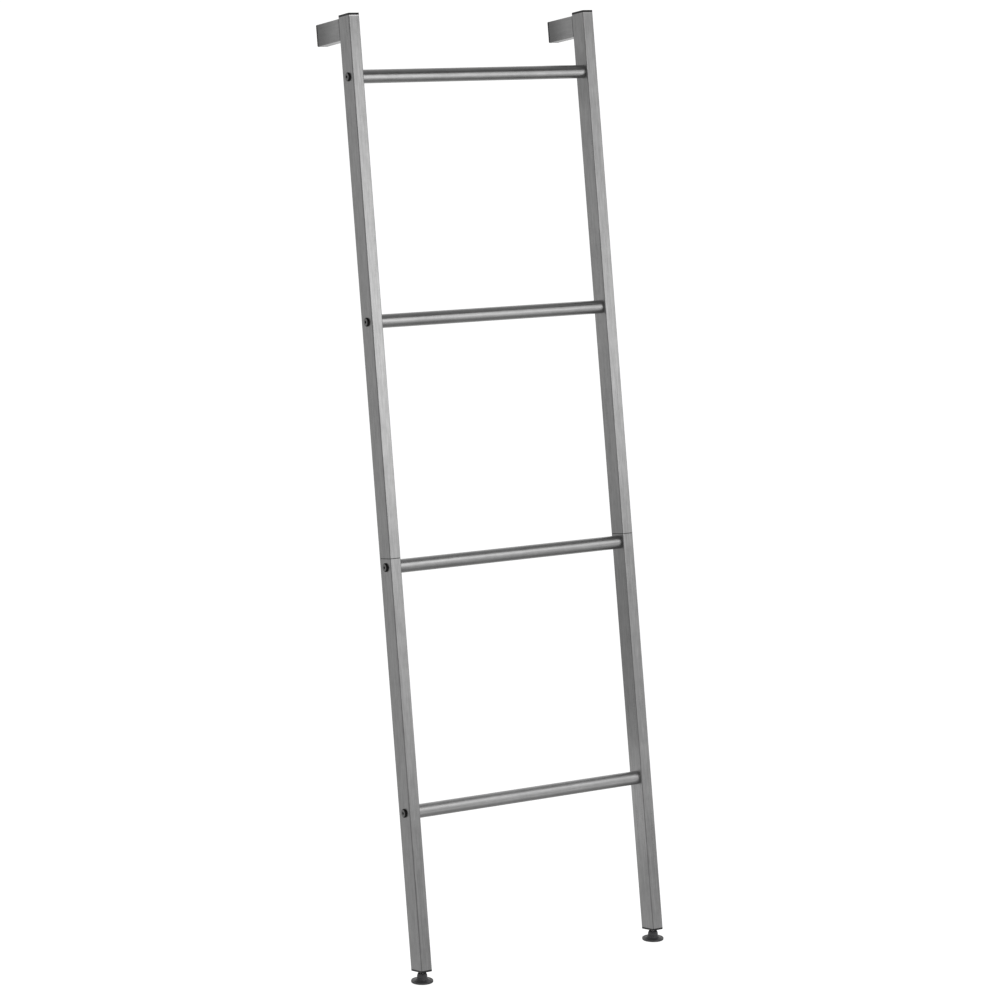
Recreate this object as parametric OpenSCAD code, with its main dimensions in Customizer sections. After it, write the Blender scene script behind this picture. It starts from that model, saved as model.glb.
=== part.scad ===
// Leaning towel ladder: two rectangular tube rails, each spliced from two halves,
// four round rungs, two arms that hold the top off the wall, and two screw-in
// swivel feet. It is modelled as it stands in use, leaning back towards +Y.
// Millimetres, +Z up, +X to the right seen from the front. The origin is on
// the floor, midway between the centres of the two feet.

/* [Stance] */
// Angle between the rails and the vertical
lean_angle = 8.7; // [6:0.1:11]
// Distance between the centre lines of the two rails
ladder_width = 396; // [340:1:480]

/* [Rails] */
// Length of a whole rail tube, from its lower to its upper cut end
rail_length = 1372; // [1340:1:1420]
// Width of the rail tube, across the ladder
rail_w = 17.5; // [17:0.5:18.5]
// Depth of the rail tube, front to back
rail_d = 32; // [31:0.5:36]
// Wall of the rail tube
rail_wall = 1.2; // [1:0.1:1.2]
// Outer corner radius of the rail tube
rail_corner = 1.5; // [1.5:0.1:2.2]
// Height of the joint between lower and upper rail, from the lower cut end
seam_height = 591; // [589:1:600]
// Depth and half width of the fine groove around that joint
seam_groove = 0.3; // [0.2:0.1:0.6]

/* [Splice] */
// Reach of the splice tube down into the lower rail
splice_down = 42; // [30:1:60]
// Reach of the splice tube up into the upper rail
splice_up = 58; // [30:1:80]
// Gap between splice and rail, on each side
splice_gap = 0.05; // [0.03:0.01:0.1]

/* [Rungs] */
// Outer diameter of a rung
rung_dia = 20; // [19:0.5:22]
// Wall of a rung
rung_wall = 1.2; // [1:0.1:1.5]
// Height of the lowest rung's axis, from the lower cut end of the rails
rung_first = 225.5; // [200:0.5:240]
// Distance between rung axes
rung_pitch = 353; // [350:0.5:356]
// Distance of the rung axes in front of the rails' middle
rung_shift = 1.2; // [0:0.1:2]
// Length of the threaded insert in each rung end
insert_len = 22; // [20:1:30]

/* [Rung bolts] */
// Thread diameter of a rung bolt
bolt_dia = 6; // [6:0.1:6]
// Length of a rung bolt under its head
bolt_len = 35; // [32:1:36]
// Diameter of a bolt head
head_dia = 13; // [12:0.1:14]
// Height of a bolt head
head_h = 2.7; // [2.5:0.1:3]
// Diameter of the flat face of a bolt head
head_flat = 9.9; // [9:0.1:10.5]
// Key size of the hexagon socket
key_size = 4; // [3:0.1:5]
// Diameter of the clearance holes in the rails
bolt_hole = 6.5; // [6.3:0.1:7]

/* [Wall arms] */
// Length of an arm tube, behind the rail
arm_length = 67; // [50:1:90]
// Distance from the upper cut end of the rail down to the arm's top face
arm_drop = 1.5; // [1.5:0.1:6]
// Thickness of the bumper cap on the arm's end
arm_cap_t = 3.5; // [2.5:0.1:5]
// Leg of the weld bead above the arm
bead_top = 1.4; // [1:0.1:1.5]
// Leg of the weld bead below the arm
bead_low = 2.6; // [1.5:0.1:4]

/* [End caps and plugs] */
// Thickness of the flange of a rail cap
cap_t = 3; // [1.5:0.1:4]
// Depth of a cap's skirt inside its tube
cap_skirt = 15; // [12:1:20]
// Thickness of the flange of a bottom plug
plug_t = 2.5; // [2:0.1:2.6]
// Depth of a bottom plug inside the rail
plug_depth = 30; // [28:1:34]

/* [Feet] */
// Diameter of a foot
foot_dia = 32; // [31:0.5:36]
// Height of the swivel ball's centre above the floor
ball_height = 6.2; // [6.2:0.1:6.4]
// Distance along the rail from the ball's centre to the rail's cut end
rail_start = 12; // [12:0.1:14]
// Diameter of the swivel ball
ball_dia = 7.2; // [7:0.1:7.2]
// Diameter of the screw thread of a foot
stem_dia = 8; // [8:0.1:8]
// Pitch of that thread
stem_pitch = 1.25; // [1.25:0.01:1.25]
// Length of the threaded part
stem_thread = 25; // [22:0.5:26]
// Radial running gap of the moving fits
run_gap = 0.05; // [0.03:0.01:0.08]

/* [Hidden] */
$fn = 64;

past = 1;                                 // how far cutters run past what they cut
in_w = rail_w - 2*rail_wall;              // bore of the rail tube, across
in_d = rail_d - 2*rail_wall;              // bore of the rail tube, front to back
in_r = rail_corner - rail_wall;           // its corner radius
rung_len = ladder_width - rail_w;         // rungs butt against the rails
rung_bore_r = rung_dia/2 - rung_wall;

steel = "#83868a";
black = "#202122";
zinc = "#b4b6b8";
off_white = "#d8d6cf";
sole_grey = "#2e2f30";

// Height of a rung's axis above the rails' lower cut end; rung 1 is the lowest
function rung_height(i) = rung_first + (i - 1)*rung_pitch;

// ---- placing ---------------------------------------------------------------
// Side 1 is the right, side -1 its mirror image on the left.

module on_side(side) {
    mirror([side < 0 ? 1 : 0, 0, 0]) children();
}

// Ladder frame: Z along the rails, Y towards the wall, origin at the ball centres' height
module leaning() {
    translate([0, 0, ball_height]) rotate([-lean_angle, 0, 0]) children();
}

// Origin at the centre of the rail's lower cut end
module at_rail(side) {
    leaning() on_side(side) translate([ladder_width/2, 0, rail_start]) children();
}

// Origin on the middle of the arm's root: Z runs out along the arm, Y down the rail
module at_arm(side) {
    at_rail(side)
        translate([0, rail_d/2, rail_length - arm_drop - rail_d/2])
            rotate([-90, 0, 0]) children();
}

// Origin at the middle of a rung, Z along its axis
module at_rung(i) {
    leaning() translate([0, -rung_shift, rail_start + rung_height(i)])
        rotate([0, 90, 0]) children();
}

// Both ends of a rung, a given distance from its middle, Z pointing outwards
module at_rung_ends(i, distance) {
    at_rung(i) for (m = [0, 1]) mirror([0, 0, m])
        translate([0, 0, distance]) children();
}

// Origin at the ball's centre, Z along the rail
module at_ball(side) {
    at_rail(side) translate([0, 0, -rail_start]) children();
}

// Origin on the floor at the foot's centre, Z upright
module at_foot(side) {
    on_side(side) translate([ladder_width/2, 0, 0]) children();
}

// ---- shared shapes ---------------------------------------------------------

module rounded(w, d, r) {
    square([w - 2*r, d], center = true);
    square([w, d - 2*r], center = true);
    for (x = [-1, 1], y = [-1, 1])
        translate([x*(w/2 - r), y*(d/2 - r)]) circle(r = r, $fn = 48);
}

module rail_outline() {
    rounded(rail_w, rail_d, rail_corner);
}

// Outline of the rail's bore, narrower by play in both directions
module bore_outline(play = 0) {
    rounded(in_w - play, in_d - play, in_r);
}

module box_tube(len) {
    difference() {
        linear_extrude(len) rail_outline();
        translate([0, 0, -past]) linear_extrude(len + 2*past) bore_outline();
    }
}

// Hole through both side walls of a rail for the bolt of rung i
module bolt_passage(i) {
    translate([0, -rung_shift, rung_height(i)]) rotate([0, 90, 0])
        cylinder(d = bolt_hole, h = 2*rail_w, center = true);
}

// Cutter for a groove around a cylinder of radius r, centred on z = 0
module groove_ring(r, depth, width) {
    difference() {
        cylinder(r = r + past, h = width, center = true);
        cylinder(r = r - depth, h = width + past, center = true);
    }
}

// Rod with thread-shaped ring grooves between two heights, its ends chamfered
module threaded_rod(r, depth, pitch, bottom, top) {
    chamfers = 1;                      // least length left for both chamfers together
    land = 0.05;                       // plain length before and after the grooves
    root = r - depth;
    count = floor((top - bottom - chamfers)/pitch);
    start = bottom + (top - bottom - count*pitch)/2;
    // One groove: [radius, height as a fraction of the pitch]
    groove = [[r, 0.06], [root, 0.45], [root, 0.55], [r, 0.94]];
    rotate_extrude()
        polygon(concat(
            [[0, bottom], [root, bottom], [r, start - land]],
            [for (i = [0:count - 1], point = groove) [point[0], start + (i + point[1])*pitch]],
            [[r, start + count*pitch + land], [root, top], [0, top]]));
}

// ---- rails -----------------------------------------------------------------

splice_wall = 1.2;

// Ring that leaves a fine groove where the two halves of a rail meet
module joint_groove() {
    translate([0, 0, seam_height - seam_groove]) difference() {
        linear_extrude(2*seam_groove)
            rounded(rail_w + 2*past, rail_d + 2*past, rail_corner);
        translate([0, 0, -past]) linear_extrude(2*seam_groove + 2*past)
            rounded(rail_w - 2*seam_groove, rail_d - 2*seam_groove,
                    rail_corner - seam_groove);
    }
}

// Part of a rail between two heights, with the bolt holes of the listed rungs
module rail_half(side, bottom, top, rungs) {
    at_rail(side) difference() {
        translate([0, 0, bottom]) box_tube(top - bottom);
        for (i = rungs) bolt_passage(i);
        joint_groove();
    }
}

module rail_upper(side) {
    color(steel) rail_half(side, bottom = seam_height, top = rail_length, rungs = [3, 4]);
}

module rail_lower(side) {
    color(steel) rail_half(side, bottom = 0, top = seam_height, rungs = [1, 2]);
}

// Tube inside both rail halves; the second rung's bolt passes through it
module splice(side) {
    play = 2*splice_gap;
    bottom = seam_height - splice_down;
    len = splice_down + splice_up;
    color(zinc) at_rail(side) difference() {
        translate([0, 0, bottom]) linear_extrude(len) bore_outline(play);
        translate([0, 0, bottom - past]) linear_extrude(len + 2*past)
            square([in_w - play - 2*splice_wall, in_d - play - 2*splice_wall], center = true);
        bolt_passage(2);
    }
}

// ---- wall arms -------------------------------------------------------------

module wall_arm(side) {
    color(steel) at_arm(side) box_tube(arm_length);
}

// Quarter-round bead along the lower edge of the arm's root
module bead(leg) {
    len = rail_w - 2*rail_corner;      // flat part of the arm's face
    intersection() {
        translate([0, rail_d/2, 0]) rotate([0, 90, 0])
            cylinder(r = leg, h = len, center = true);
        translate([-len, rail_d/2, 0]) cube([2*len, rail_d, rail_d]);
    }
}

module arm_weld(side) {
    color(steel) at_arm(side) {
        bead(bead_low);
        mirror([0, 1, 0]) bead(bead_top);
    }
}

// ---- end caps and bottom plugs ---------------------------------------------

body_play = 0.9;                       // a cap's or plug's body in its tube
rib_play = 0.04;                       // its ribs in the tube
plug_insert_r = 5.8;                   // outside of the plug's insert
plug_insert_z = 1;                     // its lower end, above the rail's cut end
plug_insert_len = 12;

// Ribs that fill the bore; first and step place their lower faces
module ribs(first, step, thickness, count) {
    for (i = [0:count - 1])
        translate([0, 0, first + i*step]) linear_extrude(thickness) bore_outline(rib_play);
}

// Cap with a flange of the tube's outline and a hollow ribbed skirt below z = 0
module tube_cap(flange) {
    skirt_wall = 2;                    // measured from the tube's bore
    roof = 1;                          // solid part of the skirt under the flange
    linear_extrude(flange) rail_outline();
    difference() {
        union() {
            translate([0, 0, -cap_skirt]) linear_extrude(cap_skirt) bore_outline(body_play);
            ribs(first = -2.6, step = -3.6, thickness = 1.1, count = 4);
        }
        translate([0, 0, -cap_skirt - past]) linear_extrude(cap_skirt + past - roof)
            rounded(in_w - 2*skirt_wall, in_d - 2*skirt_wall, 1);
    }
}

module rail_cap(side) {
    color(black) at_rail(side) translate([0, 0, rail_length]) tube_cap(cap_t);
}

module arm_cap(side) {
    color(black) at_arm(side) translate([0, 0, arm_length]) tube_cap(arm_cap_t);
}

// Passage for the screw, and the seat of its insert
module plug_bore() {
    roof = 4.5;                        // from the passage's end to the plug's top
    passage_play = 0.8;
    seat_gap = 0.02;
    translate([0, 0, -plug_t - past])
        cylinder(d = stem_dia + passage_play, h = plug_depth + plug_t + past - roof
                 - (plug_t - 2.5) );
    translate([0, 0, plug_insert_z])
        cylinder(r = plug_insert_r + seat_gap, h = plug_insert_len);
}

// Moulding pockets in front of and behind the core, open at the top
module plug_pockets() {
    offset_y = 10.4;
    floor_z = 4;
    for (y = [-1, 1]) translate([0, y*offset_y, floor_z])
        linear_extrude(plug_depth) rounded(9, 5, 1);
}

module bottom_plug(side) {
    color(black) at_rail(side) difference() {
        union() {
            translate([0, 0, -plug_t]) linear_extrude(plug_t) rail_outline();
            linear_extrude(plug_depth) bore_outline(body_play);
            ribs(first = 2, step = 5.6, thickness = 1.2, count = 5);
        }
        plug_bore();
        plug_pockets();
    }
}

// Steel insert moulded into the plug, with retaining grooves
module plug_insert(side) {
    color(zinc) at_rail(side) translate([0, 0, plug_insert_z]) difference() {
        cylinder(r = plug_insert_r, h = plug_insert_len);
        translate([0, 0, -past]) cylinder(r = stem_dia/2 + run_gap, h = plug_insert_len + 2*past);
        for (z = [3.5, 8.5]) translate([0, 0, z])
            groove_ring(plug_insert_r, depth = 0.6, width = 1.6);
    }
}

// ---- rungs -----------------------------------------------------------------

module rung(i) {
    color(steel) at_rung(i) difference() {
        cylinder(d = rung_dia, h = rung_len, center = true);
        cylinder(r = rung_bore_r, h = rung_len + 2*past, center = true);
    }
}

// Threaded insert, grooved on the outside, mouth at z = 0 and body towards -z
module rung_insert() {
    insert_r = rung_bore_r - 0.02;     // fits the rung's bore
    bore_play = 0.06;
    difference() {
        translate([0, 0, -insert_len]) cylinder(r = insert_r, h = insert_len);
        translate([0, 0, -insert_len - past])
            cylinder(d = bolt_dia + bore_play, h = insert_len + 2*past);
        for (z = [-7, -15]) translate([0, 0, z])
            groove_ring(insert_r, depth = 0.9, width = 2);
    }
}

module rung_inserts(i) {
    color(zinc) at_rung_ends(i, rung_len/2) rung_insert();
}

// Flat-faced head with a rounded rim and a hexagon socket
module bolt_head() {
    edge = 0.8;                        // straight part of the head's side
    socket_depth = 2.2;
    difference() {
        rotate_extrude()
            polygon(concat([[0, 0], [head_dia/2, 0]],
                [for (angle = [0:10:90])
                    [head_flat/2 + (head_dia - head_flat)/2*cos(angle),
                     edge + (head_h - edge)*sin(angle)]],
                [[0, head_h]]));
        translate([0, 0, head_h - socket_depth])
            cylinder(d = key_size/cos(30), h = 4, $fn = 6);
    }
}

// Bolt with its bearing face at z = 0 and its head towards +z
module rung_bolt() {
    shank_len = rail_w + 1;
    into_head = 0.5;                   // overlap of shank and head
    into_shank = 0.1;                  // overlap of thread and shank
    bolt_head();
    translate([0, 0, -shank_len]) cylinder(d = bolt_dia - 0.02, h = shank_len + into_head);
    threaded_rod(bolt_dia/2, depth = 0.55, pitch = 1,
                 bottom = -bolt_len, top = into_shank - shank_len);
}

module rung_bolts(i) {
    color(black) at_rung_ends(i, rung_len/2 + rail_w) rung_bolt();
}

// ---- feet ------------------------------------------------------------------

neck_r = 2.2;                          // neck above the ball
seat_r = ball_dia/2 + 1;               // outside of the ball seat
foot_r = foot_dia/2;
sole_r = foot_r - 1.4;
sole_t = 1.55;
sole_gap = 0.05;                       // between the sole and its recess

// Ball, stepped neck and screw in one piece
module foot_stem(side) {
    collar_r = 2.7;                    // neck below the thread
    cone_z = 4;                        // start of the cone from neck to collar
    cone_h = 0.8;
    collar_z = cone_z + cone_h;
    shoulder = 8.6;                    // start of the thread
    overlap = 1;
    color(zinc) at_ball(side) {
        sphere(d = ball_dia);
        cylinder(r = neck_r, h = cone_z + overlap);
        translate([0, 0, cone_z]) cylinder(r1 = neck_r, r2 = collar_r, h = cone_h);
        translate([0, 0, collar_z]) cylinder(r = collar_r, h = shoulder + overlap - collar_z);
        threaded_rod(stem_dia/2, depth = 0.6, pitch = stem_pitch,
                     bottom = shoulder, top = shoulder + stem_thread);
    }
}

// Split spherical seat around the ball
module ball_seat(side) {
    top = 3.6;
    slot = 0.8;
    neck_gap = 0.12;
    reach = 10;                        // beyond the seat in every direction
    color(off_white) at_ball(side) difference() {
        intersection() {
            sphere(r = seat_r);
            translate([-reach, -reach, -reach]) cube([2*reach, 2*reach, reach + top]);
        }
        sphere(r = ball_dia/2 + run_gap);
        cylinder(r = neck_r + neck_gap, h = reach);
        translate([-reach, -slot/2, 0]) cube([2*reach, slot, reach]);
    }
}

// Half section of the foot's base: disc, hub and the fillet between them
module base_profile() {
    disc_top = 3.1;                    // height where the fillet meets the disc
    fillet = 4.6;
    hub_r = 7.5;
    hub_top = 13.4;
    // Points are [radius, height].
    // Disc with a bevelled rim and a raised lip
    polygon([[0, 0.15], [foot_r - 0.2, 0.15], [foot_r, 0.35], [foot_r, 2.5],
             [foot_r - 0.4, 2.9], [foot_r - 1.5, 2.9], [foot_r - 1.9, 2.6],
             [foot_r - 2.4, disc_top - 0.2], [0, disc_top + 1.4]]);
    // Hub with a rounded shoulder
    polygon([[0, 2], [hub_r, 2], [hub_r, disc_top + fillet],
             [hub_r - 0.05, 9.0], [hub_r - 0.15, 9.9], [hub_r - 0.4, 10.9],
             [hub_r - 0.75, 11.8], [hub_r - 1.15, 12.6], [hub_r - 1.55, 13.15],
             [hub_r - 2.1, hub_top], [0, hub_top]]);
    difference() {
        translate([1, 1]) square([hub_r + fillet - 1, disc_top + fillet - 1]);
        translate([hub_r + fillet, disc_top + fillet]) circle(r = fillet);
    }
}

// Bell-shaped base that lies flat on the floor
module foot_base(side) {
    color(black) at_foot(side) difference() {
        rotate_extrude($fn = 96) base_profile();
        // Socket and its mouth
        translate([0, 0, ball_height]) sphere(r = seat_r + run_gap);
        translate([0, 0, ball_height + 3]) cylinder(r1 = 3.75, r2 = 5, h = 4.4);
        // Recess of the sole
        translate([0, 0, -past]) cylinder(r = sole_r + sole_gap, h = past + sole_t + sole_gap);
    }
}

// Non-slip sole with two ring grooves in its underside
module foot_sole(side) {
    groove_w = 1;
    groove_depth = 0.45;
    color(sole_grey) at_foot(side) difference() {
        cylinder(r = sole_r, h = sole_t);
        for (r = [5, 9.5]) translate([0, 0, -past]) difference() {
            cylinder(r = r + groove_w, h = past + groove_depth);
            translate([0, 0, -past]) cylinder(r = r, h = 4);
        }
    }
}

// ---- drawing ---------------------------------------------------------------

rail_upper(-1);  // rail_upper_left
rail_upper(1);  // rail_upper_right
rail_lower(-1);  // rail_lower_left
rail_lower(1);  // rail_lower_right
splice(-1);  // splice_left
splice(1);  // splice_right
wall_arm(-1);  // wall_arm_left
wall_arm(1);  // wall_arm_right
arm_weld(-1);  // arm_weld_left
arm_weld(1);  // arm_weld_right
rail_cap(-1);  // rail_cap_left
rail_cap(1);  // rail_cap_right
arm_cap(-1);  // arm_cap_left
arm_cap(1);  // arm_cap_right
rung(1);  // rung_1
rung(2);  // rung_2
rung(3);  // rung_3
rung(4);  // rung_4
rung_inserts(1);  // rung_1_inserts
rung_inserts(2);  // rung_2_inserts
rung_inserts(3);  // rung_3_inserts
rung_inserts(4);  // rung_4_inserts
rung_bolts(1);  // rung_1_bolts
rung_bolts(2);  // rung_2_bolts
rung_bolts(3);  // rung_3_bolts
rung_bolts(4);  // rung_4_bolts
bottom_plug(-1);  // bottom_plug_left
bottom_plug(1);  // bottom_plug_right
plug_insert(-1);  // plug_insert_left
plug_insert(1);  // plug_insert_right
foot_stem(-1);  // foot_stem_left
foot_stem(1);  // foot_stem_right
ball_seat(-1);  // ball_seat_left
ball_seat(1);  // ball_seat_right
foot_base(-1);  // foot_base_left
foot_base(1);  // foot_base_right
foot_sole(-1);  // foot_sole_left
foot_sole(1);  // foot_sole_right
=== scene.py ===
"""Looks of the leaning towel ladder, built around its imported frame. Metres, row frame."""
import math

import bpy
import numpy as np
from mathutils import Matrix, Vector


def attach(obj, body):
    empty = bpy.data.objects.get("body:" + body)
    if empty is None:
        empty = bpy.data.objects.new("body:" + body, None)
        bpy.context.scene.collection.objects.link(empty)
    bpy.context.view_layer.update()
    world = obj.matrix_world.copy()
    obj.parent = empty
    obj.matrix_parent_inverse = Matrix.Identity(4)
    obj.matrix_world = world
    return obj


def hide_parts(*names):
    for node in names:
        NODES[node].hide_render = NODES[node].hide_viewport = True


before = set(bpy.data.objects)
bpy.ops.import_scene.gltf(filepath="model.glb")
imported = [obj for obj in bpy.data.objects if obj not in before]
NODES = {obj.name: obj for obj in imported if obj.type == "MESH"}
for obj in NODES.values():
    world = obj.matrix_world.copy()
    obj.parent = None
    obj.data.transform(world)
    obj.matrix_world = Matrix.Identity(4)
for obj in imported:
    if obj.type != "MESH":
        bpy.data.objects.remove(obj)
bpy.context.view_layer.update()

SCENE = bpy.context.scene
SIDES = {"left": -1.0, "right": 1.0}

# ---- the ladder's own directions and sizes (mm where a name ends in _mm) -----------------

LEAN = math.radians(8.7)
ALONG = Vector((0, math.sin(LEAN), math.cos(LEAN)))    # up the rails
DEPTH = Vector((0, math.cos(LEAN), -math.sin(LEAN)))   # from a rail's front face to its back
BALL_Z = 0.0062                                        # height of the foot balls' centres
HALF_W = 0.198                                         # centre line of a rail from x = 0
TUBE_HALF = 0.00875                                    # from there to the rail's side face


def at(x_mm, a_mm, s_mm):
    """Point x from the middle, a behind the rails' centre plane, s above the balls' centres."""
    return Vector((x_mm / 1000, 0, BALL_Z)) + DEPTH * (a_mm / 1000) + ALONG * (s_mm / 1000)


# ---- small node-tree builder -------------------------------------------------------------

class Graph:
    def __init__(self, tree):
        self.tree = tree
        tree.nodes.clear()

    def node(self, kind, inputs=None, **props):
        n = self.tree.nodes.new(kind)
        for key, value in props.items():
            setattr(n, key, value)
        for key, value in (inputs or {}).items():
            self.feed(n.inputs[key], value)
        return n

    def feed(self, socket, value):
        if isinstance(value, bpy.types.NodeSocket):
            self.tree.links.new(value, socket)
        else:
            socket.default_value = value

    def math(self, op, a, b=0.0, c=0.0, clamp=False):
        n = self.node("ShaderNodeMath", operation=op, use_clamp=clamp)
        for i, v in enumerate((a, b, c)):
            if i < len(n.inputs):
                self.feed(n.inputs[i], v)
        return n.outputs[0]

    def vmath(self, op, a, b=(0, 0, 0), out=0):
        n = self.node("ShaderNodeVectorMath", operation=op)
        self.feed(n.inputs[0], a)
        self.feed(n.inputs[1], b)
        return n.outputs[out]

    def span(self, v, lo, hi, a=0.0, b=1.0, smooth=False):
        n = self.node("ShaderNodeMapRange", interpolation_type="SMOOTHSTEP" if smooth else "LINEAR", clamp=True)
        for i, x in enumerate((v, lo, hi, a, b)):
            self.feed(n.inputs[i], x)
        return n.outputs[0]

    def mix(self, f, a, b, blend="MIX"):
        n = self.node("ShaderNodeMix", data_type="RGBA", blend_type=blend)
        self.feed(n.inputs[0], f)
        self.feed(n.inputs[6], a)
        self.feed(n.inputs[7], b)
        return n.outputs[2]

    def lerp(self, f, a, b):
        n = self.node("ShaderNodeMix", data_type="FLOAT")
        self.feed(n.inputs[0], f)
        self.feed(n.inputs[2], a)
        self.feed(n.inputs[3], b)
        return n.outputs[0]

    def noise(self, vec, scale, detail=2.0, rough=0.5, out="Fac"):
        n = self.node("ShaderNodeTexNoise", {"Vector": vec, "Scale": scale, "Detail": detail, "Roughness": rough})
        return n.outputs[out]

    def voronoi(self, vec, scale, out="Color", feature="F1"):
        n = self.node("ShaderNodeTexVoronoi", {"Vector": vec, "Scale": scale}, feature=feature)
        return n.outputs[out]

    def split(self, vec):
        return self.node("ShaderNodeSeparateXYZ", {0: vec}).outputs

    def stretch(self, vec, scale, rotation=(0, 0, 0)):
        return self.node("ShaderNodeMapping", {"Vector": vec, "Rotation": rotation, "Scale": scale}).outputs[0]

    def grey(self, v):
        return self.node("ShaderNodeCombineColor", {0: v, 1: v, 2: v}).outputs[0]

    def bump(self, height, distance, normal=None, strength=1.0):
        ins = {"Height": height, "Distance": distance, "Strength": strength}
        if normal is not None:
            ins["Normal"] = normal
        return self.node("ShaderNodeBump", ins).outputs[0]

    def edge(self, radius, lo=0.02, hi=0.28):
        """1 on edges that stand out or lie in, 0 on flats and gentle curves."""
        bev = self.node("ShaderNodeBevel", {"Radius": radius}, samples=6).outputs[0]
        nor = self.node("ShaderNodeNewGeometry").outputs["Normal"]
        dot = self.vmath("DOT_PRODUCT", bev, nor, out="Value")
        return self.span(self.math("SUBTRACT", 1.0, dot), lo, hi, smooth=True)


def material(name):
    m = bpy.data.materials.new(name)
    m.use_nodes = True
    return m, Graph(m.node_tree)


def principled(g, normal=None, **ins):
    keys = {"base": "Base Color", "metal": "Metallic", "rough": "Roughness", "coat": "Coat Weight",
            "coat_rough": "Coat Roughness", "spec": "Specular IOR Level", "aniso": "Anisotropic",
            "tangent": "Tangent", "sss": "Subsurface Weight", "sss_radius": "Subsurface Radius",
            "sss_scale": "Subsurface Scale", "ior": "IOR", "sheen": "Sheen Weight"}
    n = g.node("ShaderNodeBsdfPrincipled", {keys[k]: v for k, v in ins.items()})
    if normal is not None:
        g.feed(n.inputs["Normal"], normal)
    out = g.node("ShaderNodeOutputMaterial")
    g.tree.links.new(n.outputs[0], out.inputs["Surface"])
    return n


def rest_coords(g, lean=True):
    """Coordinates fixed to the piece: X across, Y in depth, Z along the rail when lean is set."""
    p = g.node("ShaderNodeTexCoord").outputs["Object"]
    return g.stretch(p, (1, 1, 1), (LEAN, 0, 0)) if lean else p


def float_curve(g, value, stops):
    n = g.node("ShaderNodeFloatCurve", {"Value": value})
    c = n.mapping.curves[0]
    c.points[0].location, c.points[1].location = stops[0], stops[-1]
    for stop in stops[1:-1]:
        c.points.new(*stop)
    n.mapping.update()
    return n.outputs[0]


# ---- finishes ------------------------------------------------------------------------------

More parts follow.
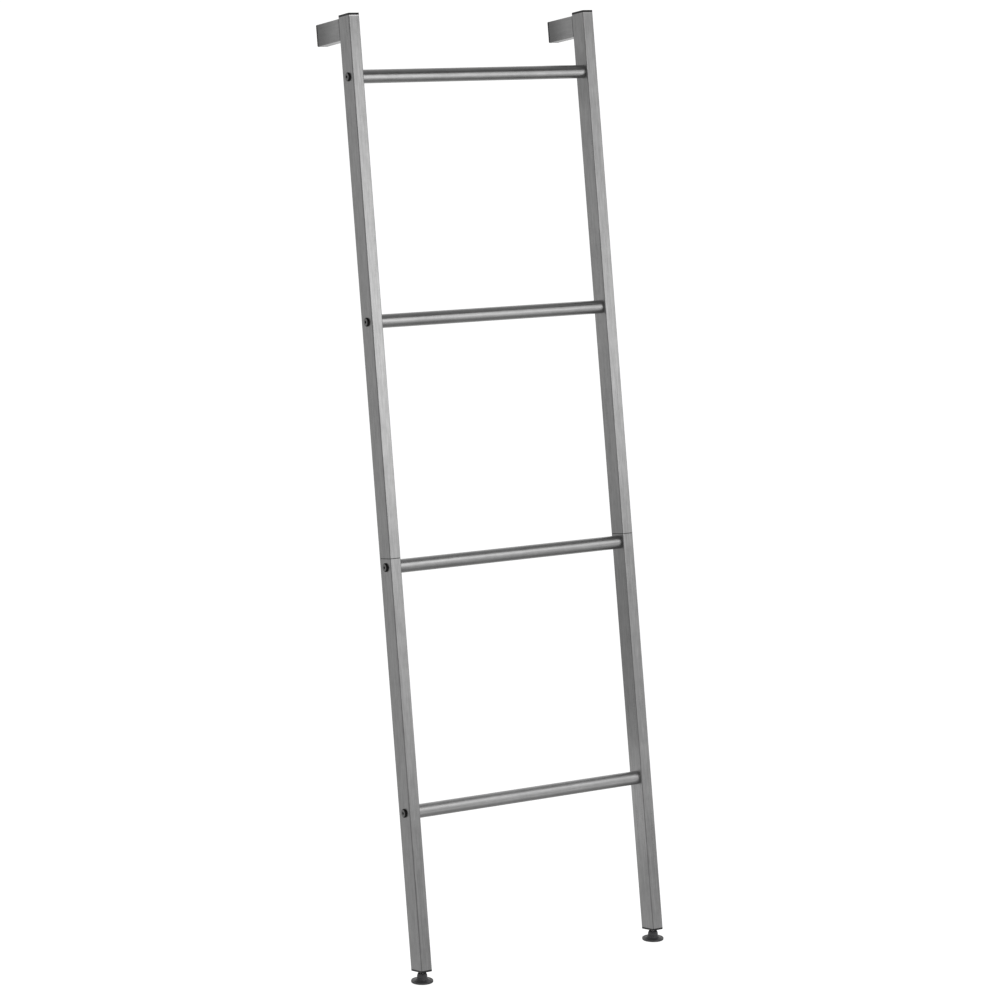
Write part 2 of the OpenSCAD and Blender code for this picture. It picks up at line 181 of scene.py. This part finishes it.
def satin_metal(name, tone, rough, grain, coat=0.10, warm=0.0, wear_and_edge_shade=1.0, painted_shade_ramp=None, ends=None, joint=None,
                streak=1.0, drift=None):
    """Graphite metallic coat on drawn tube, with painted shade on its corners and, where asked, more painted light.
    grain is the axis (0, 1, 2) the tube was drawn along.
    """
    m, g = material(name)
    p = rest_coords(g)
    k = [1.0, 1.0, 1.0]
    k[grain] = 0.012
    drawn = g.stretch(p, k)
    k[grain] = 0.025
    fine = g.noise(g.stretch(p, k), 1500, 3, 0.6)    # hair lines, under a millimetre wide
    broad = g.noise(drawn, 300, 2, 0.5)          # streaks of 3 to 4 mm, a hand long
    k[grain] = 0.07
    short = g.noise(g.stretch(p, k), 420, 3, 0.6)    # the same, a few centimetres long
    cloud = g.noise(p, 9, 3, 0.55)               # slow drift of the coat's thickness
    flake = g.voronoi(p, 2600)                   # metal flakes, 0.4 mm
    peel = g.noise(p, 520, 2, 0.5)               # orange peel of the coat
    speck = g.noise(p, 5200, 1, 0.5)
    flake_v = g.split(flake)[0]
    v = g.math("ADD", g.span(fine, 0.25, 0.75, -0.09 * streak, 0.09 * streak),
               g.span(broad, 0.3, 0.7, -0.035 * streak, 0.035 * streak))
    v = g.math("ADD", v, g.span(short, 0.3, 0.7, -0.075 * streak, 0.075 * streak))
    v = g.math("ADD", v, g.span(cloud, 0.3, 0.7, -0.05, 0.05))
    v = g.math("ADD", v, g.span(g.noise(p, 48, 2, 0.5), 0.3, 0.7, -0.03, 0.03))
    v = g.math("ADD", v, g.span(g.noise(p, 150, 2, 0.5), 0.3, 0.7, -0.035, 0.035))
    v = g.math("ADD", v, g.span(flake_v, 0.0, 1.0, -0.05, 0.05))
    v = g.math("MULTIPLY_ADD", v, tone, tone)
    # painted shade: corners darkened, standing in for the dark reflections they catch; a few worn spots on them made
    # bright
    edge = g.edge(0.0009)
    bright_patch = g.span(g.noise(p, 330, 4, 0.65), 0.60, 0.70)
    gain = g.math("MULTIPLY_ADD", g.math("MULTIPLY", edge, bright_patch), 0.50 * wear_and_edge_shade, 1.0)
    gain = g.math("MULTIPLY_ADD", edge, -0.58 * wear_and_edge_shade, gain)
    v = g.math("MULTIPLY", v, gain)
    if painted_shade_ramp:
        # painted shade: the tone falls to the given amount along the axis; on the arms, darker towards the wall end
        axis, lo, hi, amount = painted_shade_ramp
        v = g.math("MULTIPLY", v, g.span(g.split(p)[axis], lo, hi, 1.0, amount, smooth=True))
    if drift:
        # painted reflections and shadows: lighter and darker bands along the right rail's inner side, standing in for
        # the floor and rungs it mirrors
        q = g.split(p)
        nor = g.split(g.node("ShaderNodeTexCoord").outputs["Normal"])[0]
        inner = g.math("MULTIPLY", g.span(nor, -0.9, -0.7, 1.0, 0.0), g.span(q[0], 0.0, 0.1))
        change = float_curve(g, g.math("DIVIDE", q[2], 1.4), [(a / 1.4, b / 1.5) for a, b in drift])
        v = g.math("MULTIPLY", v, g.lerp(inner, 1.0, g.math("MULTIPLY", change, 1.5)))
    if ends:
        # painted highlight, partly real: a bright band at the deburred upper cut end, where the coat is thin and the
        # metal shows, made strongest on the front face and the left rail
        axis, places, width, amount = ends
        q = g.split(p)
        front = g.span(g.split(g.stretch(g.node("ShaderNodeTexCoord").outputs["Normal"], (1, 1, 1), (LEAN, 0, 0)))[1],
                       -0.9, -0.6, 1.0, 0.12)
        side = g.span(q[0], -0.1, 0.1, 1.0, 0.30)
        mask = 0.0
        for place in places:
            near = g.span(g.math("ABSOLUTE", g.math("SUBTRACT", q[axis], place)), width * 0.75, width, 1.0, 0.0)
            mask = g.math("MAXIMUM", near, mask)
        mask = g.math("MULTIPLY", mask, g.math("MULTIPLY", front, side))
        v = g.math("MULTIPLY_ADD", mask, amount, v)
    if joint:
        # dark groove where two tubes meet, with a painted highlight along its lips
        axis, place, half = joint
        off = g.math("ABSOLUTE", g.math("SUBTRACT", g.split(p)[axis], place))
        painted_lip_highlight = g.span(off, half * 2.8, half * 1.6)
        v = g.math("MULTIPLY_ADD", g.math("MULTIPLY", painted_lip_highlight, 0.10), v, v)
        groove = g.span(off, half * 1.25, half * 1.05)
        v = g.lerp(groove, v, 0.02)
    base = g.node("ShaderNodeCombineColor", {0: g.math("MULTIPLY", v, 1.0 + warm), 1: v,
                                             2: g.math("MULTIPLY", v, 1.0 - warm)}).outputs[0]
    r = g.math("ADD", rough, g.span(broad, 0.3, 0.7, -0.025, 0.025))
    r = g.math("ADD", r, g.span(cloud, 0.3, 0.7, -0.02, 0.02))
    r = g.math("ADD", r, g.span(flake_v, 0.0, 1.0, -0.03, 0.03))
    n = g.bump(speck, 1.2e-6)
    n = g.bump(peel, 7e-6, n)
    n = g.bump(fine, 1.6e-6, n)
    principled(g, n, base=base, metal=1.0, rough=r, coat=coat, coat_rough=0.12)
    return m


def moulded_plastic(name, tone, rough, grain=900, depth=1.6e-5, painted_edge_light=1.4, spec=0.5, tint=(1, 1, 1.04)):
    """Moulded black plastic with a fine spark-eroded grain, polished a little on its edges, whose tone carries painted
    light.
    """
    m, g = material(name)
    p = rest_coords(g)
    a = g.noise(p, grain, 3, 0.62)
    b = g.voronoi(p, grain * 1.9, out="Distance")
    cloud = g.noise(p, 60, 3, 0.5)
    dust = g.span(g.noise(p, 700, 4, 0.7), 0.60, 0.78, 0.0, 1.0)
    edge = g.edge(0.0007)
    v = g.math("MULTIPLY_ADD", g.span(a, 0.25, 0.75, -0.14, 0.14), tone, tone)
    v = g.math("MULTIPLY_ADD", g.span(cloud, 0.3, 0.7, -0.12, 0.12), tone, v)
    # painted light on the edges: a highlight where the edge factor is above nought, painted shade where it is below
    v = g.math("MULTIPLY_ADD", g.math("MULTIPLY", edge, painted_edge_light), tone, v)
    v = g.math("MULTIPLY_ADD", dust, tone * 0.5, v)
    base = g.node("ShaderNodeCombineColor", {i: g.math("MULTIPLY", v, tint[i]) for i in range(3)}).outputs[0]
    r = g.math("ADD", rough, g.span(cloud, 0.3, 0.7, -0.05, 0.05))
    r = g.math("SUBTRACT", r, g.math("MULTIPLY", edge, 0.10))
    n = g.bump(b, depth * 0.6)
    n = g.bump(a, depth, n)
    principled(g, n, base=base, metal=0.0, rough=r, spec=spec)
    return m


def plated_steel(name, tone, rough, metal=1.0):
    """Bright zinc plate: small crystals, a faint blue-yellow drift, and fine marks."""
    m, g = material(name)
    p = rest_coords(g)
    crystal = g.split(g.voronoi(p, 900))[0]
    cloud = g.noise(p, 120, 3, 0.6)
    marks = g.noise(g.stretch(p, (1, 1, 0.05)), 2600, 3, 0.6)
    v = g.math("MULTIPLY_ADD", g.span(crystal, 0, 1, -0.06, 0.06), tone, tone)
    v = g.math("MULTIPLY_ADD", g.span(marks, 0.3, 0.7, -0.05, 0.05), tone, v)
    warm = g.mix(g.span(cloud, 0.35, 0.65), (0.95, 0.99, 1.06, 1), (1.05, 1.0, 0.92, 1))
    base = g.mix(1.0, g.grey(v), warm, "MULTIPLY")
    edge = g.edge(0.0004)
    r = g.math("ADD", rough, g.span(crystal, 0, 1, -0.04, 0.04))
    r = g.math("SUBTRACT", r, g.math("MULTIPLY", edge, 0.06))
    n = g.bump(marks, 2.0e-6)
    n = g.bump(cloud, 6e-6, n)
    principled(g, n, base=base, metal=metal, rough=r)
    return m


def black_oxide(name):
    """Black-oxide screw head: dark body, with a painted highlight: its flat crown face made lighter bare grey metal."""
    m, g = material(name)
    p = rest_coords(g, lean=False)
    nor = g.node("ShaderNodeTexCoord").outputs["Normal"]
    x = g.math("ABSOLUTE", g.split(p)[0])
    # painted highlight: the flat face at the crown is lighter bare metal, in place of the fill light a glossy face
    # reflects
    flat = g.span(g.math("ABSOLUTE", g.split(nor)[0]), 0.90, 0.985, smooth=True)
    crown = g.span(x, HALF_W + TUBE_HALF + 0.0022, HALF_W + TUBE_HALF + 0.0025)
    bright_patch = g.math("MULTIPLY", flat, crown)
    blot = g.noise(p, 900, 4, 0.6)
    bright_patch = g.math("MULTIPLY", bright_patch, g.span(blot, 0.30, 0.55, 0.80, 1.0))
    edge = g.math("MULTIPLY", g.edge(0.0003), g.span(g.noise(p, 1300, 3, 0.6), 0.42, 0.66))
    dark = g.math("MULTIPLY_ADD", g.span(blot, 0.3, 0.7, -0.3, 0.3), 0.008, 0.010)
    v = g.lerp(bright_patch, dark, 0.20)
    v = g.math("MULTIPLY_ADD", edge, 0.02, v)
    turned = g.noise(g.stretch(p, (0.02, 1, 1)), 2400, 2, 0.5)
    r = g.lerp(bright_patch, 0.42, 0.34)
    r = g.math("ADD", r, g.span(blot, 0.3, 0.7, -0.05, 0.05))
    n = g.bump(turned, 2.5e-6)
    principled(g, n, base=g.grey(v), metal=g.lerp(bright_patch, 0.10, 1.0), rough=r, spec=0.20)
    return m


def nylon(name):
    m, g = material(name)
    p = rest_coords(g)
    cloud = g.noise(p, 400, 3, 0.55)
    grain = g.noise(p, 3000, 2, 0.6)
    base = g.mix(g.span(cloud, 0.3, 0.7), (0.66, 0.645, 0.58, 1), (0.74, 0.73, 0.675, 1))
    n = g.bump(grain, 6e-6)
    principled(g, n, base=base, rough=g.span(grain, 0.3, 0.7, 0.38, 0.52), sss=0.35,
               sss_radius=(1.0, 0.9, 0.7), sss_scale=0.0012)
    return m


def rubber(name):
    m, g = material(name)
    p = rest_coords(g, lean=False)
    grain = g.noise(p, 1600, 4, 0.7)
    scuff = g.span(g.noise(p, 260, 4, 0.65), 0.52, 0.72)
    v = g.math("MULTIPLY_ADD", g.span(grain, 0.3, 0.7, -0.2, 0.2), 0.03, 0.034)
    v = g.math("MULTIPLY_ADD", scuff, 0.02, v)
    n = g.bump(grain, 3e-5)
    principled(g, n, base=g.grey(v), rough=g.span(grain, 0.3, 0.7, 0.72, 0.9), spec=0.35)
    return m


TOP = 1372 + 12                                # upper cut end of the rails above the balls' centres, mm
SEAM = 591 + 12
ARM_S = 1372 + 12 - 1.5 - 16                   # centre line of the arms

# positions inside rest_coords: the lean turned upright about x through the row frame's origin
_z0 = BALL_Z * math.cos(LEAN)                  # where the balls' centres come to lie
_y0 = -BALL_Z * math.sin(LEAN)

LOOK = {
    # rail_paint carries painted light: a bright band at the top cut end, a painted highlight on the joint's lips,
    # painted reflection bands on the right rail's inner side
    "rail_paint": satin_metal("rail_paint", 0.36, 0.32, 2, coat=0.12,
                              ends=(2, [_z0 + TOP / 1000], 0.0018, 0.34), streak=1.6,
                              joint=(2, _z0 + SEAM / 1000, 0.00046),
                              drift=((0.0, 1.02), (0.10, 1.06), (0.205, 1.30), (0.27, 1.12), (0.33, 0.84), (0.36, 0.79),
                                     (0.58, 0.78), (0.64, 0.86), (0.70, 0.91), (0.80, 0.98), (1.24, 1.0), (1.28, 0.86),
                                     (1.32, 0.84), (1.34, 0.93), (1.40, 0.92))),
    # arm_paint: painted shade darkening the arms towards the wall end
    "arm_paint": satin_metal("arm_paint", 0.36, 0.32, 1, coat=0.12, painted_shade_ramp=(1, 0.020, 0.084, 0.50)),
    "rung_paint": satin_metal("rung_paint", 0.405, 0.32, 0, coat=0.15),
    # painted light: a lighter, rougher copy of the rung paint for the lowest rung, standing in for light bounced up
    # from the floor
    "rung_paint_painted_bounce": satin_metal("rung_paint_painted_bounce", 0.47, 0.40, 0, coat=0.08),
    "weld_paint": satin_metal("weld_paint", 0.33, 0.36, 0, coat=0.10, wear_and_edge_shade=0.6),
    "zinc_steel": plated_steel("zinc_steel", 0.62, 0.30),
    # painted light: a lighter, less metallic copy of the zinc plate, so the stem shaded under the plug reads brighter
    "stem_steel": plated_steel("stem_steel", 0.88, 0.45, metal=0.30),
    "black_bolt": black_oxide("black_bolt"),
    # black_plastic: painted highlight on its edges
    "black_plastic": moulded_plastic("black_plastic", 0.012, 0.45, grain=1100, painted_edge_light=0.5, spec=0.35),
    "natural_nylon": nylon("natural_nylon"),
    # foot_plastic: painted shade on its rims
    "foot_plastic": moulded_plastic("foot_plastic", 0.062, 0.44, grain=1300, painted_edge_light=-0.62, spec=0.40),
    "sole_rubber": rubber("sole_rubber"),
}


def paint(obj, look):
    obj.data.materials.clear()
    obj.data.materials.append(LOOK[look])


# ---- CAD nodes that keep their shape: finish, eased edges, clean shading ------------------------

def dress(name, look, ease_mm, steps=3, angle=32):
    o = NODES[name]
    paint(o, look)
    bpy.context.view_layer.objects.active = o
    o.data.polygons.foreach_set("use_smooth", [True] * len(o.data.polygons))
    if "custom_normal" in o.data.attributes:
        o.data.attributes.remove(o.data.attributes["custom_normal"])
    for e in ("sharp_edge", "sharp_face"):
        if e in o.data.attributes:
            o.data.attributes.remove(o.data.attributes[e])
    weld = o.modifiers.new("weld", "WELD")
    weld.merge_threshold = 2e-7
    if ease_mm:
        flat = o.modifiers.new("merge_flats", "DECIMATE")
        flat.decimate_type = "DISSOLVE"
        flat.angle_limit = math.radians(0.6)
        ease = o.modifiers.new("ease", "BEVEL")
        ease.width = ease_mm / 1000
        ease.segments = steps
        ease.limit_method = "ANGLE"
        ease.angle_limit = math.radians(angle)
        ease.use_clamp_overlap = True
        ease.miter_outer = "MITER_ARC"
    clean = o.modifiers.new("clean", "WELD")             # a bevel clamped to nothing leaves empty faces
    clean.merge_threshold = 1e-6
    norm = o.modifiers.new("flats_true", "WEIGHTED_NORMAL")
    norm.mode = "FACE_AREA"
    norm.weight = 90
    norm.keep_sharp = False
    return o


for side in SIDES:
    dress(f"rail_upper_{side}", "rail_paint", 0.10)
    dress(f"rail_lower_{side}", "rail_paint", 0.10)
    dress(f"wall_arm_{side}", "arm_paint", 0.25)
    dress(f"rail_cap_{side}", "black_plastic", 0.30)
    dress(f"arm_cap_{side}", "black_plastic", 0.50)
    dress(f"bottom_plug_{side}", "black_plastic", 0.25)
    dress(f"splice_{side}", "zinc_steel", 0)
    dress(f"plug_insert_{side}", "zinc_steel", 0)
    dress(f"ball_seat_{side}", "natural_nylon", 0)
    dress(f"foot_base_{side}", "foot_plastic", 0)
    dress(f"foot_sole_{side}", "sole_rubber", 0)
for i in (1, 2, 3, 4):
    # the lowest rung takes the copy with painted bounce light
    dress(f"rung_{i}", "rung_paint" if i > 1 else "rung_paint_painted_bounce", 0.25)
    dress(f"rung_{i}_inserts", "zinc_steel", 0)
    dress(f"rung_{i}_bolts", "black_bolt", 0.10, steps=2)


# ---- pieces made here --------------------------------------------------------------------------

def mesh_object(name, verts, faces, look, smooth_deg=None):
    me = bpy.data.meshes.new(name)
    me.from_pydata([tuple(v) for v in verts], [], faces)
    me.validate()
    me.update()
    o = bpy.data.objects.new(name, me)
    SCENE.collection.objects.link(o)
    paint(o, look)
    me.polygons.foreach_set("use_smooth", [True] * len(me.polygons))
    if smooth_deg:
        me.set_sharp_from_angle(angle=math.radians(smooth_deg))
    return o


def lathe_rows(rows, turn):
    """Closed skin over rows of (height, radius or radius-by-angle) with turn points each, poles at both ends."""
    verts, faces = [], []
    for z, r in rows:
        for j in range(turn):
            t = 2 * math.pi * j / turn
            rr = r[j] if hasattr(r, "__len__") else r
            verts.append((rr * math.cos(t), rr * math.sin(t), z))
    n = len(rows)
    for i in range(n - 1):
        for j in range(turn):
            k = (j + 1) % turn
            faces.append((i * turn + j, i * turn + k, (i + 1) * turn + k, (i + 1) * turn + j))
    low, high = len(verts), len(verts) + 1
    verts += [(0, 0, rows[0][0] - 1e-6), (0, 0, rows[-1][0])]
    for j in range(turn):
        k = (j + 1) % turn
        faces.append((low, k, j))
        faces.append((high, (n - 1) * turn + j, (n - 1) * turn + k))
    return verts, faces


def foot_screw(side):
    """M8 x 1.25 right-hand screw with its swivel ball, shown in place of the ringed CAD solid."""
    turn, pitch, major, depth, start, length = 48, 1.25, 3.99, 0.66, 8.6, 25.0
    rows = []
    r_ball, r_neck, r_top = 3.6, 2.2, 2.7
    for i in range(1, 28):                                   # the ball, from its lowest point
        t = math.pi * i / 36
        z, r = -r_ball * math.cos(t), r_ball * math.sin(t)
        if z > math.sqrt(r_ball ** 2 - r_neck ** 2) or (z > 0 and r < r_neck):
            break
        rows.append((z, r))
    rows.append((math.sqrt(r_ball ** 2 - r_neck ** 2), r_neck))
    rows += [(3.9, r_neck), (4.0, r_neck + 0.02), (4.75, r_top - 0.02), (4.85, r_top)]
    for i in range(7):                                       # fillet up to the thread's shoulder
        t = math.pi / 2 * i / 6
        rows.append((start - 0.5 + 0.5 * math.sin(t), r_top + 0.5 * (1 - math.cos(t))))
    rows.append((start + 0.001, major - depth - 0.25))
    steps = int(round(length / (pitch / 14)))
    for i in range(steps + 1):
        z = start + 0.002 + (length - 0.002) * i / steps
        cap = min(major, major - depth + (z - start) * 0.9, major - depth - 0.1 + (start + length - z) * 1.1)
        ring = []
        for j in range(turn):
            ph = ((z - start) / pitch - j / turn) % 1.0
            t = min(ph, 1 - ph) * 2
            h = min(1.0, max(0.0, (t - 0.16) / 0.66))
            h = h * h * (3 - 2 * h) * 0.35 + h * 0.65
            ring.append(min(cap, major - depth * h))
        rows.append((z, ring))
    verts, faces = lathe_rows([(z / 1000, [x / 1000 for x in r] if hasattr(r, "__len__") else r / 1000)
                               for z, r in rows], turn)
    o = mesh_object(f"foot_screw_m8_{side}", verts, faces, "stem_steel", 42)
    place = Matrix.Translation((SIDES[side] * HALF_W, 0, BALL_Z)) @ Matrix.Rotation(-LEAN, 4, "X")
    o.data.transform(place)
    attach(o, f"foot_screw_{side}")
    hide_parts(f"foot_stem_{side}")


def weld_beads(side):
    """Two rippled fillet beads, above and below the root of the arm."""
    verts, faces = [], []
    cx = SIDES[side] * HALF_W * 1000
    for sign, leg, seed in ((1, 1.35, 0.4), (-1, 2.55, 1.7)):
        n, k, half = 104, 12, 7.4
        first = len(verts)
        for i in range(n + 1):
            u = -half + 2 * half * i / n
            wave = (u + 50 + seed) / 1.55
            dime = (wave % 1.0)
            ripple = 0.10 * math.sqrt(max(0.0, 1 - (2 * dime - 1) ** 2)) - 0.05
            drift = 0.04 * math.sin(u * 0.9 + seed) + 0.03 * math.sin(u * 2.3 + 2 * seed)
            end = min(1.0, math.sqrt(max(0.0, 1 - (abs(u) / half) ** 6)) + 0.12)
            r = leg * (0.93 + ripple + drift) * end
            for j in range(k + 1):
                t = math.pi / 2 * j / k
                round_ = 1.0 + 0.06 * math.sin(2 * t)        # convex face
                a = 16 - 0.08 + (r * round_ * math.cos(t) + 0.08 * (j < k))
                s = ARM_S + sign * (16 - 0.08 + (r * round_ * math.sin(t) + 0.08 * (j > 0)))
                verts.append(at(cx + u, a, s))
            verts.append(at(cx + u, 16 - 0.08, ARM_S + sign * (16 - 0.08)))
        w = k + 2
        for i in range(n):
            for j in range(w):
                q = (first + i * w + j, first + i * w + (j + 1) % w,
                     first + (i + 1) * w + (j + 1) % w, first + (i + 1) * w + j)
                faces.append(q if sign > 0 else q[::-1])
        lo = tuple(first + j for j in range(w))
        hi = tuple(first + n * w + j for j in range(w))
        faces.append(lo[::-1] if sign > 0 else lo)
        faces.append(hi if sign > 0 else hi[::-1])
    o = mesh_object(f"arm_weld_beads_{side}", verts, faces, "weld_paint", 50)
    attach(o, "ladder")
    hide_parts(f"arm_weld_{side}")


for side in SIDES:
    foot_screw(side)
    weld_beads(side)


# ---- studio ---------------------------------------------------------------------------------------

def floor():
    me = bpy.data.meshes.new("floor")
    h = 400.0
    me.from_pydata([(-h, -h, 0), (h, -h, 0), (h, h, 0), (-h, h, 0)], [], [(0, 1, 2, 3)])
    o = bpy.data.objects.new("floor", me)
    SCENE.collection.objects.link(o)
    m, g = material("floor_paper")
    p = g.node("ShaderNodeTexCoord").outputs["Object"]
    tooth = g.noise(p, 900, 3, 0.6)
    n = g.bump(tooth, 2e-5)
    b = g.node("ShaderNodeBsdfPrincipled", {"Base Color": (0.50, 0.50, 0.50, 1), "Roughness": 0.9,
                                            "Specular IOR Level": 0.0,
                                            "Emission Color": (1, 1, 1, 1), "Emission Strength": 0.88,
                                            "Normal": n})
    out = g.node("ShaderNodeOutputMaterial")
    g.tree.links.new(b.outputs[0], out.inputs["Surface"])
    me.materials.append(m)
    o.visible_glossy = False
    return o


PANEL_DIR = Vector((0.46, -0.885, 0)).normalized()


def soft_box():
    """Wide soft box in front, to the right, strongest a metre above the floor."""
    width, height, away, peak = 1.8, 2.4, 1.10, 1.7
    me = bpy.data.meshes.new("soft_box")
    me.from_pydata([(-width / 2, 0, 0), (width / 2, 0, 0), (width / 2, 0, height), (-width / 2, 0, height)],
                   [], [(0, 1, 2, 3)])
    o = bpy.data.objects.new("soft_box", me)
    SCENE.collection.objects.link(o)
    o.location = Vector((0.0, 0.1, 0)) + PANEL_DIR * away
    o.rotation_euler = (0, 0, math.atan2(PANEL_DIR.y, PANEL_DIR.x) + math.pi / 2)
    m, g = material("soft_box_light")
    p = g.split(g.node("ShaderNodeTexCoord").outputs["Object"])
    sideways = g.span(g.math("ABSOLUTE", p[0]), width / 2 - 0.22, width / 2, 1.0, 0.0, smooth=True)
    glow = (0.00, 0.66, 0.84, 0.88, 1.26, 1.63, 1.57, 1.33, 1.46, 0.28, 0.12, 0.12, 0.12)
    rise = float_curve(g, g.math("DIVIDE", p[2], height), [(i / 12, v / peak) for i, v in enumerate(glow)])
    # the lamp stands to the left of the middle, so its upper part falls off to the right
    lean = (0.40, 0.60, -0.65, -0.50, -0.50, -0.33, -0.62, -0.95, -1.00, -0.50, -0.50, -0.50, -0.50)
    tilt = float_curve(g, g.math("DIVIDE", p[2], height), [(i / 12, (v + 1) / 2) for i, v in enumerate(lean)])
    tilt = g.math("MULTIPLY", p[0], g.math("MULTIPLY_ADD", tilt, 2.0, -1.0))
    tilt = g.math("MAXIMUM", g.math("ADD", tilt, 1.0), 0.0)
    power = g.math("MULTIPLY", g.math("MULTIPLY", g.math("MULTIPLY", sideways, rise), peak), tilt)
    e = g.node("ShaderNodeEmission", {"Color": (1, 1, 1, 1), "Strength": power})
    out = g.node("ShaderNodeOutputMaterial")
    g.tree.links.new(e.outputs[0], out.inputs["Surface"])
    me.materials.append(m)
    o.visible_camera = False
    o.visible_shadow = False
    return o


def studio_world():
    """White seen directly; what lights the ladder is a soft grey studio with a bright sweep behind."""
    w = bpy.data.worlds.new("studio")
    SCENE.world = w
    w.use_nodes = True
    g = Graph(w.node_tree)
    d = g.vmath("NORMALIZE", g.node("ShaderNodeTexCoord").outputs["Generated"])
    x, y, z = g.split(d)[0:3]
    flat = g.math("SQRT", g.math("MAXIMUM", g.math("SUBTRACT", 1.0, g.math("MULTIPLY", z, z)), 1e-4))

    def lobe(az, half, soft, lo, lo_soft, hi, hi_soft, amount):
        """Patch of wall: az from +Y towards +X, half and soft in degrees; lo and hi are heights in sines."""
        ux, uy = math.sin(math.radians(az)), math.cos(math.radians(az))
        c = g.math("DIVIDE", g.math("ADD", g.math("MULTIPLY", x, ux), g.math("MULTIPLY", y, uy)), flat)
        a = g.span(c, math.cos(math.radians(min(179, half + soft))), math.cos(math.radians(max(0, half - soft))), smooth=True)
        b = g.span(z, lo - lo_soft, lo + lo_soft, smooth=True)
        t = g.span(z, hi - hi_soft, hi + hi_soft, 1.0, 0.0, smooth=True)
        return g.math("MULTIPLY", g.math("MULTIPLY", g.math("MULTIPLY", a, b), t), amount)

    left = g.math("ADD", 0.26, lobe(-28, 30, 14, -0.75, 0.2, 0.75, 0.2, 0.31))
    left = g.math("ADD", left, lobe(-100, 24, 14, -0.75, 0.2, 0.75, 0.2, 0.17))
    # right half, by the angle round the x axis: 0 level in front, 90 up, 180 level behind, -90 down
    ring = (1.06, 0.95, 0.79, 0.65, 0.54, 0.43, 0.25, 0.33, 0.31, 0.42, 0.78, 0.80, 0.46, 0.32, 0.16, 0.08, 0.12,
            0.28, 0.29, 0.31, 0.50, 0.61, 0.85, 1.03, 1.06)
    phi = g.math("ARCTAN2", z, g.math("MULTIPLY", y, -1.0))
    turn = g.math("MULTIPLY_ADD", phi, 1 / (2 * math.pi), 0.5)
    right = g.math("MULTIPLY", float_curve(g, turn, [(i / 24, v / 1.1) for i, v in enumerate(ring)]), 1.1)
    total = g.lerp(g.span(x, -0.25, 0.05, smooth=True), left, right)
    seen = g.node("ShaderNodeBackground", {"Color": (1, 1, 1, 1), "Strength": 1.0})
    lit = g.node("ShaderNodeBackground", {"Color": (1, 1, 1, 1), "Strength": total})
    mix = g.node("ShaderNodeMixShader", {0: g.node("ShaderNodeLightPath").outputs["Is Camera Ray"],
                                         1: lit.outputs[0], 2: seen.outputs[0]})
    out = g.node("ShaderNodeOutputWorld")
    g.tree.links.new(mix.outputs[0], out.inputs["Surface"])


floor()
soft_box()
studio_world()
SCENE.view_settings.view_transform = "Standard"
SCENE.view_settings.look = "None"


# ---- camera ------------------------------------------------------------------------------------------

def camera():
    turn, down, roll = 0.5407585, 0.1250182, 0.0014542
    look = Vector((math.sin(turn) * math.cos(down), math.cos(turn) * math.cos(down), -math.sin(down)))
    right = Vector((math.cos(turn), -math.sin(turn), 0))
    up = right.cross(look)
    r = right * math.cos(roll) + up * math.sin(roll)
    u = up * math.cos(roll) - right * math.sin(roll)
    place = Vector((-2.426605, -3.964479, 1.480533))
    data = bpy.data.cameras.new("camera")
    o = bpy.data.objects.new("camera", data)
    SCENE.collection.objects.link(o)
    data.sensor_width = 36.0
    data.lens = 117.802
    data.clip_start, data.clip_end = 0.05, 1000
    o.rotation_mode = "QUATERNION"
    o.matrix_world = Matrix(((r.x, u.x, -look.x, place.x), (r.y, u.y, -look.y, place.y),
                             (r.z, u.z, -look.z, place.z), (0, 0, 0, 1)))
    # the frame is off the lens axis from this place only; from any other the lens looks straight
    for path, shift in (("shift_x", -0.013874), ("shift_y", -0.146896)):
        d = data.driver_add(path).driver
        d.type = "SCRIPTED"
        for name, axis in (("x", "LOC_X"), ("y", "LOC_Y")):
            v = d.variables.new()
            v.name, v.type = name, "TRANSFORMS"
            v.targets[0].id = o
            v.targets[0].transform_type = axis
            v.targets[0].transform_space = "WORLD_SPACE"
        d.expression = f"{shift} if abs(x - {place.x:.6f}) + abs(y - {place.y:.6f}) < 0.001 else 0.0"
    SCENE.camera = o


camera()
